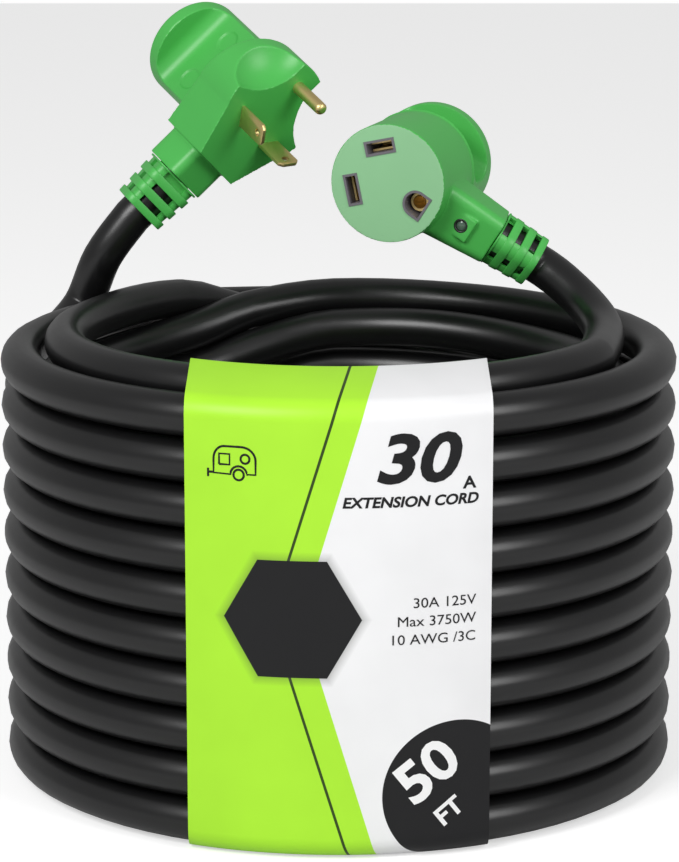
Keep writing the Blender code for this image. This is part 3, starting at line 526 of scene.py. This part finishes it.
def makeRelief(name, s, place, node):
    stretch = s["length"] / relief["plug"]["length"]
    inset, gap = s["inset"], relief["gap"]

    def widthAt(z):
        return s["root"] + (s["tip"] - s["root"]) * z / s["length"]

    body = roundedBar(name, s["root"] - 2 * inset, gap, s["length"] - relief["coreShort"],
                      s["corner"] - relief["coreCorner"], (s["tip"] - 2 * inset) / (s["root"] - 2 * inset))
    windows = [(a * stretch, b * stretch) for a, b in relief["windows"]]
    rings = list(zip([gap] + [b for a, b in windows], [a for a, b in windows] + [s["length"]]))
    for low, high in rings:
        ring = roundedBar("ring", widthAt(low), low, high, s["corner"], widthAt(high) / widthAt(low))
        roundEdges(ring, relief["ringRound"], 2, lambda a, b: abs(a.z - b.z) < 1e-6)
        combine(body, ring)
    bore = addRod("bore", boreRadius, relief["boreFrom"], relief["boreTo"], sides=64)
    combine(body, bore, "DIFFERENCE")
    for row, (low, high) in enumerate(windows):
        for turn, width in ((0, relief["long"]), (1, relief["short"])):
            w = width / 2 * (s["tip"] / relief["plug"]["tip"])
            for side in (1, -1):
                inner = 0.0 if row else widthAt(low) / 2 - relief["firstWall"]
                window = addBlock("window", (inner, -w, low), (relief["reach"], w, high))
                angle = turn * math.pi / 2 + (0 if side > 0 else math.pi)
                window.data.transform(Matrix.Rotation(angle, 4, "Z"))
                combine(body, window, "DIFFERENCE")
    smoothShade(body, 30)
    turned = place @ Matrix.Rotation(s["twist"], 4, "Z")
    return finishPiece(body, turned, greenVinyl, [node])


def makeBlade(name, sign, node):
    s = {"wide": 0.0096, "thick": 0.0016, "out": 0.0185, "root": -0.0120, "chamfer": 0.0018,
         "edge": 0.00030, "hole": 0.0016, "holeDown": 0.0042, "holeReach": 0.003, "offset": 0.0108}
    blade = addBlock(name, (-s["wide"] / 2, -s["thick"] / 2, s["root"]),
                     (s["wide"] / 2, s["thick"] / 2, s["out"]))
    roundEdges(blade, s["chamfer"], 1,
               lambda a, b: min(a.z, b.z) > s["out"] - 1e-5 and abs(a.y - b.y) > 0.001)
    roundEdges(blade, s["edge"], 2, lambda a, b: True)
    hole = addRod("hole", s["hole"], -s["holeReach"], s["holeReach"], sides=32)
    hole.data.transform(Matrix.Translation((0, 0, s["out"] - s["holeDown"]))
                        @ Matrix.Rotation(math.pi / 2, 4, "X"))
    combine(blade, hole, "DIFFERENCE")
    smoothShade(blade, 30)
    turn = (Matrix.Translation((-s["offset"], sign * s["offset"], 0))
            @ Matrix.Rotation(math.radians(45 * sign), 4, "Z"))
    return finishPiece(blade, plugPlace @ turn, brass, [node])


def makeGroundPin():
    s = {"radius": 0.0027, "out": 0.0205, "root": -0.0120, "tipRound": 0.0021, "x": 0.0145,
         "slotFrom": 0.0008, "slotTo": 0.004, "slotHalf": 0.0006, "slotLow": 0.0055, "slotHigh": 0.0010}
    pin = addRod("groundPin", s["radius"], s["root"], s["out"], sides=48)
    roundEdges(pin, s["tipRound"], 6, lambda a, b: min(a.z, b.z) > s["out"] - 1e-5)
    slot = addBlock("slot", (s["slotFrom"], -s["slotHalf"], s["out"] - s["slotLow"]),
                    (s["slotTo"], s["slotHalf"], s["out"] - s["slotHigh"]))
    combine(pin, slot, "DIFFERENCE")
    smoothShade(pin, 40)
    place = plugPlace @ Matrix.Translation((s["x"], 0, 0))
    return finishPiece(pin, place, brass, ["plug_ground_pin"])


plugParts = [makePlugBody(),
             makeRelief("plugRelief", relief["plug"], plugPlace @ plugCable, "plug_strain_relief"),
             makeBlade("plugHotBlade", 1, "plug_hot_blade"),
             makeBlade("plugNeutralBlade", -1, "plug_neutral_blade"),
             makeGroundPin()]
print("plug made", [len(ob.data.polygons) for ob in plugParts])

# connector
connector = {"radius": 0.0245, "depth": 0.0410, "length": 0.0670, "disc": 0.0252, "discThick": 0.0080,
             "web": 0.0170, "gapTop": -0.0410, "handleLap": 0.0004, "padX": 0.0333, "padTop": -0.0118,
             "pad": 0.0103, "padDeep": 0.006, "neckRoot": 0.0250, "neckTip": 0.0212,
             "neckLength": connectorPose["neckLength"], "neckInside": -0.008, "neckRound": 0.0045,
             "boreDeep": 0.012, "borePast": 0.01, "wellRadius": 0.0030, "wellDeep": 0.0030,
             "wellPast": 0.002, "chamberRadius": 0.0200, "chamberLow": -0.0340, "chamberHigh": -0.0050,
             "windowLow": -0.0062, "windowHigh": 0.001, "faceSkin": 0.0006, "voxel": 0.00050,
             "softenings": 2}
faceLayout = {"offset": 0.0108, "slotLong": 0.0112, "slotWide": 0.0043, "ground": 0.0145, "u": 0.0046,
              "flatAt": 0.85, "rim": 0.0010}


def makeConnectorBody():
    s = connector
    body = addRod("connectorBody", s["radius"], -s["depth"], 0, sides=160)
    combine(body, fingerHandle("handle", s, s["gapTop"] + s["handleLap"]))
    neck = addBlock("neck", (-s["neckRoot"] / 2, -s["neckRoot"] / 2, s["neckInside"]),
                    (s["neckRoot"] / 2, s["neckRoot"] / 2, s["neckLength"]))
    k = s["neckTip"] / s["neckRoot"]
    stretchEnd(neck, lambda c: c.z > 0, (k, k, 1), (0, 0, 0))
    roundEdges(neck, s["neckRound"], 6, lambda a, b: abs(a.z - b.z) > 0.01)
    neck.data.transform(connectorCable)
    combine(body, neck)
    half = s["pad"] / 2
    pad = addBlock("pad", (s["padX"] - half, -half, s["padTop"] - s["padDeep"]),
                   (s["padX"] + half, half, s["padTop"]))
    combine(body, pad)
    mould(body, s["voxel"], s["softenings"])
    bore = addRod("bore", boreRadius, s["neckLength"] - s["boreDeep"], s["neckLength"] + s["borePast"],
                  sides=64)
    bore.data.transform(connectorCable)
    combine(body, bore, "DIFFERENCE")
    well = addRod("well", s["wellRadius"], s["padTop"] - s["wellDeep"], s["padTop"] + s["wellPast"],
                  x=s["padX"], sides=48)
    combine(body, well, "DIFFERENCE")
    chamber = addRod("chamber", s["chamberRadius"], s["chamberLow"], s["chamberHigh"])
    combine(body, chamber, "DIFFERENCE")
    for window in slotCutters(faceLayout["rim"], s["windowLow"], s["windowHigh"]):
        combine(body, window, "DIFFERENCE")
    smoothShade(body, 40)
    # the flat face turned toward the lights gets the paler green, which is painted light on the same vinyl
    pale = set()
    for face in body.data.polygons:
        if face.center.z > -s["faceSkin"] and face.normal.z > 0.9:
            pale.add(face.index)
    finishPiece(body, connectorPlace, [greenVinyl, paintedLitFace], ["connector_body"])
    for face in body.data.polygons:
        face.material_index = 1 if face.index in pale else 0
    return body


def slotCutters(grow, low, high):
    f = faceLayout
    cutters = []
    for sign in (1, -1):
        slot = addBlock("slot", (-f["slotLong"] / 2 - grow, -f["slotWide"] / 2 - grow, low),
                        (f["slotLong"] / 2 + grow, f["slotWide"] / 2 + grow, high))
        slot.data.transform(Matrix.Translation((-f["offset"], sign * f["offset"], 0))
                            @ Matrix.Rotation(math.radians(45 * sign), 4, "Z"))
        cutters.append(slot)
    r = f["u"] + grow
    flat = f["ground"] + f["u"] * f["flatAt"] + grow
    u = addRod("uSlot", r, low, high, x=f["ground"], sides=64)
    combine(u, addBlock("uFlat", (f["ground"], -r, low), (flat, r, high)))
    # all that stands past the flat side goes
    trim = addBlock("trim", (flat, -0.02, low - 0.01), (0.05, 0.02, high + 0.01))
    combine(u, trim, "DIFFERENCE")
    cutters.append(u)
    return cutters


def makeLens():
    s = {"radius": 0.0024, "bulge": 0.0010, "sunk": 0.0014}
    lens = addBall("lampLens", (0, 0, 0), (s["radius"], s["radius"], s["bulge"]), 40)
    mat = grained("clear lens", (0.10, 0.16, 0.12), 0.05, 0.12, 0.02, specular=0.8)[0]
    place = connectorPlace @ Matrix.Translation((connector["padX"], 0, connector["padTop"] - s["sunk"]))
    smoothShade(lens, 60)
    return finishPiece(lens, place, mat, ["indicator_lens"])


def makeBezel():
    s = {"radius": 0.0026, "thick": 0.00045, "sunk": 0.0003}
    deselectAll()
    bpy.ops.mesh.primitive_torus_add(major_segments=48, minor_segments=12, major_radius=s["radius"],
                                     minor_radius=s["thick"])
    bezel = added("lampBezel")
    smoothShade(bezel, 60)
    place = connectorPlace @ Matrix.Translation((connector["padX"], 0, connector["padTop"] - s["sunk"]))
    return finishPiece(bezel, place, darkNylon)


connectorReliefPlace = connectorPlace @ connectorCable @ Matrix.Translation((0, 0, connector["neckLength"]))
connectorParts = [makeConnectorBody(),
                  makeRelief("connectorRelief", relief["connector"], connectorReliefPlace,
                             "connector_strain_relief"),
                  makeLens(), makeBezel()]
print("connector made", [len(ob.data.polygons) for ob in connectorParts])

# card sleeve
sleeve = {"halfWidth": 0.0588, "gap": 0.0014, "card": 0.0007, "columns": 48, "lift": 0.00008,
          "arcSteps": 12, "frontSteps": 24, "insideSteps": 12, "lean": 0.254,
          "uvAcross": 5, "uvUp": 2, "uvFoot": 0.02,
          "green": (0.400, 0.800, 0.035), "grey": (0.82, 0.82, 0.83), "dark": (0.010, 0.010, 0.011)}


def sleeveSection():
    # radius, height and distance along the card, from the front's bottom corner and over the top
    r, gap, base = coil["jacket"] / 2, sleeve["gap"], sleeve["card"]
    out, inn = coil["outer"] + gap, coil["inner"] - gap
    low, high = level(10) + gap, level(10) + coil["topRise"] + gap
    corners = [(out, base + r, -90, 0), (out, low, 0, 75), (inn, high, 90, 180), (inn, base + r, 180, 270)]
    arcs, fronts, insides = sleeve["arcSteps"], sleeve["frontSteps"], sleeve["insideSteps"]
    points = []
    for x, z, start, end in corners:
        for i in range(arcs + 1):
            a = math.radians(start + (end - start) * i / arcs)
            points.append((x + r * math.cos(a), z + r * math.sin(a)))
        if (x, start) == (out, -90):
            points += [(out + r, base + r + (low - base - r) * i / fronts) for i in range(1, fronts)]
        if (x, start) == (inn, 90):
            points += [(inn - r, high - (high - base - r) * i / insides) for i in range(1, insides)]
    points.append(points[0])
    # up the front and over the top the print keeps its slant as seen from the front
    along = []
    for (r0, z0), (r1, z1) in zip([points[0]] + points, points):
        step = math.hypot(r1 - r0, z1 - z0)
        if r1 > inn - 0.0001 and z1 > base + r:
            step = z1 - z0 + (r0 - r1) * sleeve["lean"]
        along.append((along[-1] if along else base + r - math.pi / 2 * r) + step)
    return [(p[0], p[1], v) for p, v in zip(points, along)]


def sleeveSpot(u, radius, height):
    return coil["centre"] + Vector((radius * math.sin(u / radius), -radius * math.cos(u / radius), height))


def makeSleeve():
    section = sleeveSection()
    columns, rows = sleeve["columns"], len(section) - 1

    def sectionAt(y):
        return section[min(rows, max(0, round((y + 0.5) * rows)))]

    deselectAll()
    bpy.ops.mesh.primitive_grid_add(x_subdivisions=columns, y_subdivisions=rows, size=1)
    band = added("cardSleeve")
    layer = band.data.uv_layers.active
    for loop in band.data.loops:
        co = band.data.vertices[loop.vertex_index].co
        u = co.x * 2 * sleeve["halfWidth"]
        v = sectionAt(co.y)[2]
        layer.data[loop.index].uv = (u * sleeve["uvAcross"] + 0.5, (v + sleeve["uvFoot"]) * sleeve["uvUp"])
    for vert in band.data.vertices:
        u = vert.co.x * 2 * sleeve["halfWidth"]
        radius, height = sectionAt(vert.co.y)[:2]
        vert.co = sleeveSpot(u, radius, height)
    pickOnly(band)
    bpy.ops.object.mode_set(mode="EDIT")
    bpy.ops.mesh.select_all(action="SELECT")
    bpy.ops.mesh.remove_doubles(threshold=0.00001)
    bpy.ops.mesh.normals_make_consistent(inside=False)
    bpy.ops.object.mode_set(mode="OBJECT")
    card = band.modifiers.new("card", "SOLIDIFY")
    card.thickness = sleeve["card"]
    card.offset = 1
    card.use_even_offset = True
    settle(band)
    smoothShade(band, 40)
    return finishPiece(band, Matrix.Identity(4), printMaterial(), ["label_sleeve"])


# the card's printed shapes, millimetres across from the middle and up from the foot
artwork = {"edgeMiddle": 95.0, "edgeSlope": 0.300, "edge": -14.0, "stripeSlope": 0.308, "stripe": 25.4,
           "stripeHalf": 0.62, "stripeColour": (0.03, 0.06, 0.01), "hexagonAcross": 17.3,
           "hexagonUp": 94.5, "hexagon": 22.6, "shadow": 26.0, "shadowSoft": 4.5,
           "shadowStrength": 0.55, "shadowColour": (0.05, 0.06, 0.04), "discAcross": 45.2,
           "discUp": 24.9, "disc": 28.9}


def printMaterial():
    s = artwork
    mat, tree, shader = grained("printed card", (1, 1, 1), 0.34, 0.42, 0.03, 500.0, 0.28)
    uv = tree.nodes.new("ShaderNodeUVMap")
    split = tree.nodes.new("ShaderNodeSeparateXYZ")
    link(tree, uv.outputs["UV"], split.inputs[0])
    # millimetres across and up the card
    u = mathNode(tree, "MULTIPLY", mathNode(tree, "SUBTRACT", split.outputs[0], 0.5),
                 1000 / sleeve["uvAcross"])
    v = mathNode(tree, "MULTIPLY_ADD", split.outputs[1], 1000 / sleeve["uvUp"], -1000 * sleeve["uvFoot"])

    def below(value, limit, soft=0.12):
        # 1 where value is under limit
        return mathNode(tree, "DIVIDE", mathNode(tree, "SUBTRACT", limit, value), soft, clamp=True)

    def paint(base, colour, mask):
        mix = tree.nodes.new("ShaderNodeMix")
        mix.data_type = "RGBA"
        link(tree, mask, mix.inputs["Factor"])
        if isinstance(base, tuple):
            mix.inputs[6].default_value = (*base, 1)
        else:
            link(tree, base, mix.inputs[6])
        mix.inputs[7].default_value = (*colour, 1)
        return mix.outputs[2]

    # the green side, whose edge is bent at the middle and has a dark stripe beside it
    rise = mathNode(tree, "ABSOLUTE", mathNode(tree, "SUBTRACT", v, s["edgeMiddle"]))
    edge = mathNode(tree, "MULTIPLY_ADD", rise, -s["edgeSlope"], u)
    colour = paint(sleeve["grey"], sleeve["green"], below(edge, s["edge"]))
    leaning = mathNode(tree, "MULTIPLY_ADD", rise, -s["stripeSlope"], u)
    stripe = mathNode(tree, "ABSOLUTE", mathNode(tree, "ADD", leaning, s["stripe"]))
    colour = paint(colour, s["stripeColour"], below(stripe, s["stripeHalf"]))
    # hexagon, with a soft shadow under it
    hu = mathNode(tree, "ABSOLUTE", mathNode(tree, "ADD", u, s["hexagonAcross"]))
    hv = mathNode(tree, "ABSOLUTE", mathNode(tree, "SUBTRACT", v, s["hexagonUp"]))
    slant = mathNode(tree, "ADD", mathNode(tree, "MULTIPLY", hu, 0.866), mathNode(tree, "MULTIPLY", hv, 0.5))
    hexagon = mathNode(tree, "MAXIMUM", hv, slant)
    shadow = mathNode(tree, "MULTIPLY", below(hexagon, s["shadow"], s["shadowSoft"]), s["shadowStrength"])
    colour = paint(colour, s["shadowColour"], shadow)
    colour = paint(colour, sleeve["dark"], below(hexagon, s["hexagon"]))
    # dark round at the lower corner
    across = mathNode(tree, "POWER", mathNode(tree, "SUBTRACT", u, s["discAcross"]), 2.0)
    up = mathNode(tree, "POWER", mathNode(tree, "SUBTRACT", v, s["discUp"]), 2.0)
    away = mathNode(tree, "SQRT", mathNode(tree, "ADD", across, up))
    colour = paint(colour, sleeve["dark"], below(away, s["disc"]))
    tint = next(n for n in tree.nodes if n.bl_idname == "ShaderNodeMix" and n.blend_type == "MULTIPLY")
    link(tree, colour, tint.inputs[6])
    return mat


def onCard(ob):
    # wraps a flat drawing (metres across and up the card) onto the card's front
    radius = coil["outer"] + sleeve["gap"] + coil["jacket"] / 2 + sleeve["card"]
    for vert in ob.data.vertices:
        vert.co = sleeveSpot(vert.co.x, radius + sleeve["lift"] + vert.co.z, vert.co.y)


def addWords(name, words, size, at, colour, align="LEFT", slant=0.0, turn=0.0, bold=0.0, wide=1.0):
    deselectAll()
    bpy.ops.object.text_add()
    text = bpy.context.object
    text.data.body = words
    text.data.size = size
    text.data.align_x = align
    text.data.shear = slant
    text.data.offset = bold
    text.data.extrude = 0.00004
    text.data.resolution_u = 4
    bpy.ops.object.convert(target="MESH")
    drawing = bpy.context.object
    drawing.name = name
    drawing.data.transform(Matrix.Translation((at[0], at[1], 0)) @ Matrix.Rotation(math.radians(turn), 4, "Z")
                           @ Matrix.Diagonal((wide, 1, 1, 1)))
    mergeDoubles(drawing)
    sliceAcross(drawing, 0.0024)
    onCard(drawing)
    return finishPiece(drawing, Matrix.Identity(4), colour)


def mergeDoubles(ob):
    pickOnly(ob)
    bpy.ops.object.mode_set(mode="EDIT")
    bpy.ops.mesh.select_all(action="SELECT")
    bpy.ops.mesh.remove_doubles(threshold=0.000001)
    bpy.ops.object.mode_set(mode="OBJECT")


def sliceAcross(ob, step):
    # cuts a flat drawing into upright strips, so that it can follow the card round
    xs = [v.co.x for v in ob.data.vertices]
    pickOnly(ob)
    bpy.ops.object.mode_set(mode="EDIT")
    for i in range(1, int((max(xs) - min(xs)) / step) + 1):
        bpy.ops.mesh.select_all(action="SELECT")
        bpy.ops.mesh.bisect(plane_co=(min(xs) + i * step, 0, 0), plane_no=(1, 0, 0))
    bpy.ops.mesh.select_all(action="SELECT")
    bpy.ops.mesh.quads_convert_to_tris()
    bpy.ops.object.mode_set(mode="OBJECT")


def roundLine(x, y, across, up, count=20, start=0, end=360):
    turns = [math.radians(start + (end - start) * i / count) for i in range(count + 1)]
    return [(x + across * math.cos(a), y + up * math.sin(a)) for a in turns]


def addIcon(colour):
    # a plain travel trailer in thin lines, millimetres on the card
    s = {"line": 0.00042, "flat": 0.12}
    shell = (roundLine(-43.0, 154.5, 4.2, 5.0, 8, 180, 90) + roundLine(-36.5, 154.5, 5.6, 5.0, 10, 90, 0)
             + [(-30.9, 149.2), (-34.2, 149.2)] + roundLine(-37.4, 149.0, 3.2, 3.2, 10, 0, 180)
             + [(-47.2, 149.2), (-47.2, 154.5)])
    lines = [shell, roundLine(-37.4, 148.9, 2.0, 2.0), roundLine(-34.9, 155.0, 1.7, 1.7),
             [(-45.0, 152.6), (-40.9, 152.6), (-40.9, 156.6), (-45.0, 156.6), (-45.0, 152.6)],
             [(-47.2, 149.4), (-49.4, 149.4)], [(-49.4, 150.8), (-49.4, 147.6)]]
    drawing = bpy.data.curves.new("trailerIcon", "CURVE")
    drawing.dimensions = "3D"
    drawing.bevel_depth = s["line"]
    drawing.bevel_resolution = 2
    drawing.use_fill_caps = True
    for line in lines:
        stroke = drawing.splines.new("POLY")
        stroke.points.add(len(line) - 1)
        for point, (x, y) in zip(stroke.points, line):
            point.co = (x / 1000, y / 1000, 0, 1)
    ob = bpy.data.objects.new("trailerIcon", drawing)
    bpy.context.scene.collection.objects.link(ob)
    pickOnly(ob)
    bpy.ops.object.convert(target="MESH")
    ob = bpy.context.object
    ob.data.transform(Matrix.Diagonal((1, 1, s["flat"], 1)))
    onCard(ob)
    return finishPiece(ob, Matrix.Identity(4), colour)


darkInk = grained("dark ink", (0.010, 0.010, 0.011), 0.34, 0.42, 0.02, specular=0.25)[0]
whiteInk = grained("white ink", (0.85, 0.85, 0.85), 0.30, 0.38, 0.02)[0]
makeSleeve()
addWords("ratingNumber", "30", 0.0254, (0.0130, 0.1470), darkInk, slant=0.22, bold=0.0007, wide=1.22)
addWords("ratingUnit", "A", 0.0064, (0.0472, 0.1432), darkInk, bold=0.00016, wide=1.15)
addWords("kindLine", "EXTENSION CORD", 0.0055, (0.0012, 0.1375), darkInk, slant=0.2, bold=0.00017, wide=1.10)
for row, words in enumerate(("30A 125V", "Max 3750W", "10 AWG /3C")):
    addWords("spec" + str(row), words, 0.0055, (0.0527, 0.0985 - 0.0070 * row), darkInk, align="RIGHT",
             wide=1.12)
addWords("lengthNumber", "50", 0.0225, (0.0285, 0.0210), whiteInk, turn=38, bold=0.0006, wide=1.10)
addWords("lengthUnit", "FT", 0.0100, (0.0400, 0.0120), whiteInk, turn=38, bold=0.0003, wide=1.05)
addIcon(darkInk)
print("sleeve made")

# floor and light
studio = {"floor": 6.0, "floorDown": 0.0004, "floorGlow": 0.55, "world": 0.33, "aim": (0, 0, 0.1)}
keyLight = {"at": (-0.9, -1.3, 1.3), "size": (0.9, 0.9), "power": 25}
fillLight = {"at": (1.1, -1.0, 0.9), "size": (0.7, 0.9), "power": 11}
deselectAll()
bpy.ops.mesh.primitive_plane_add(size=studio["floor"], location=(0, 0, -studio["floorDown"]))
floor = bpy.context.object
floor.name = "floor"
floorMat, floorTree, floorShader = newMaterial("pale floor", (0.66, 0.66, 0.66), 0.9)
floorShader.inputs["Emission Color"].default_value = (1, 1, 1, 1)
floorPath = floorTree.nodes.new("ShaderNodeLightPath")
link(floorTree, mathNode(floorTree, "MULTIPLY", floorPath.outputs["Is Camera Ray"], studio["floorGlow"]),
     floorShader.inputs["Emission Strength"])
floor.data.materials.append(floorMat)
world = bpy.data.worlds.new("studio")
bpy.context.scene.world = world
world.use_nodes = True
backdrop = world.node_tree.nodes["Background"]
backdrop.inputs["Color"].default_value = (1, 1, 1, 1)
path = world.node_tree.nodes.new("ShaderNodeLightPath")
link(world.node_tree, mathNode(world.node_tree, "MULTIPLY_ADD", path.outputs["Is Camera Ray"],
                               1 - studio["world"], studio["world"]), backdrop.inputs["Strength"])


def addSoftBox(name, settings):
    deselectAll()
    bpy.ops.object.light_add(type="AREA", location=settings["at"])
    lamp = bpy.context.object
    lamp.name = name
    lamp.data.shape = "RECTANGLE"
    lamp.data.size, lamp.data.size_y = settings["size"]
    lamp.data.energy = settings["power"]
    aim = Vector(studio["aim"]) - Vector(settings["at"])
    lamp.rotation_euler = aim.to_track_quat("-Z", "Y").to_euler()


addSoftBox("keyLight", keyLight)
addSoftBox("fillLight", fillLight)
print("light set")
